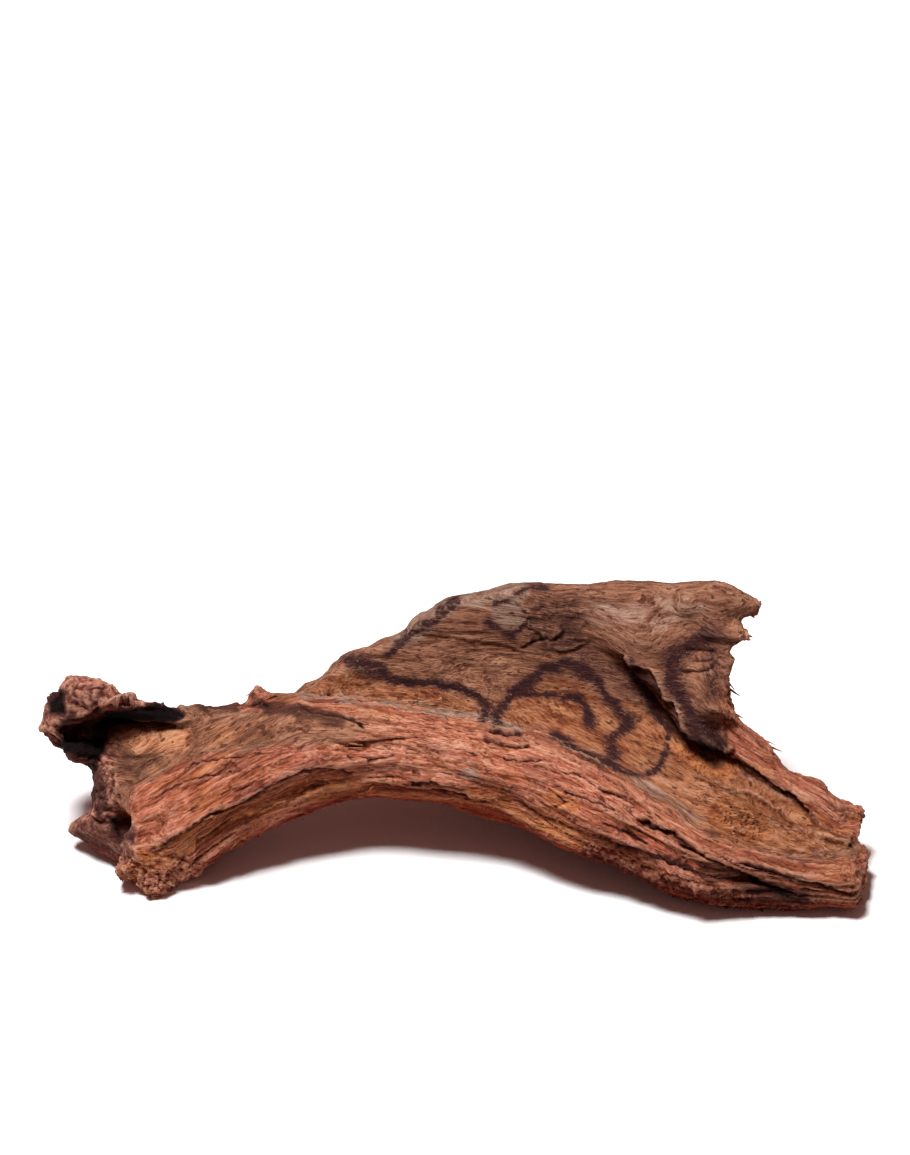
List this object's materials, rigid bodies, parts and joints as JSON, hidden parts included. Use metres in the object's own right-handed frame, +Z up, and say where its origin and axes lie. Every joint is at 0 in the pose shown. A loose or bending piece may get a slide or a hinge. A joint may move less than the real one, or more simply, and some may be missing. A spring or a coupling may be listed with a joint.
{
  "type": "piece of driftwood",
  "caption": "Arched piece of weathered driftwood with a broad wing of wood behind the arch, standing free on its worn ends and a stub at the back.",
  "frame": {"origin": "middle of the box round the wood, on the surface it stands on", "axes": "+X runs along the wood to its broken right end, +Y points from the arch back to the wing, +Z up"},
  "size_m": [0.3, 0.1106, 0.0827],
  "materials": {
    "weathered_wood": "bare, dry and water-worn, matt, reddish outer wood and tan inner wood with dark stain lines"
  },
  "bodies": {
    "root": {"driftwood": "weathered_wood"}
  },
  "joints": []
}
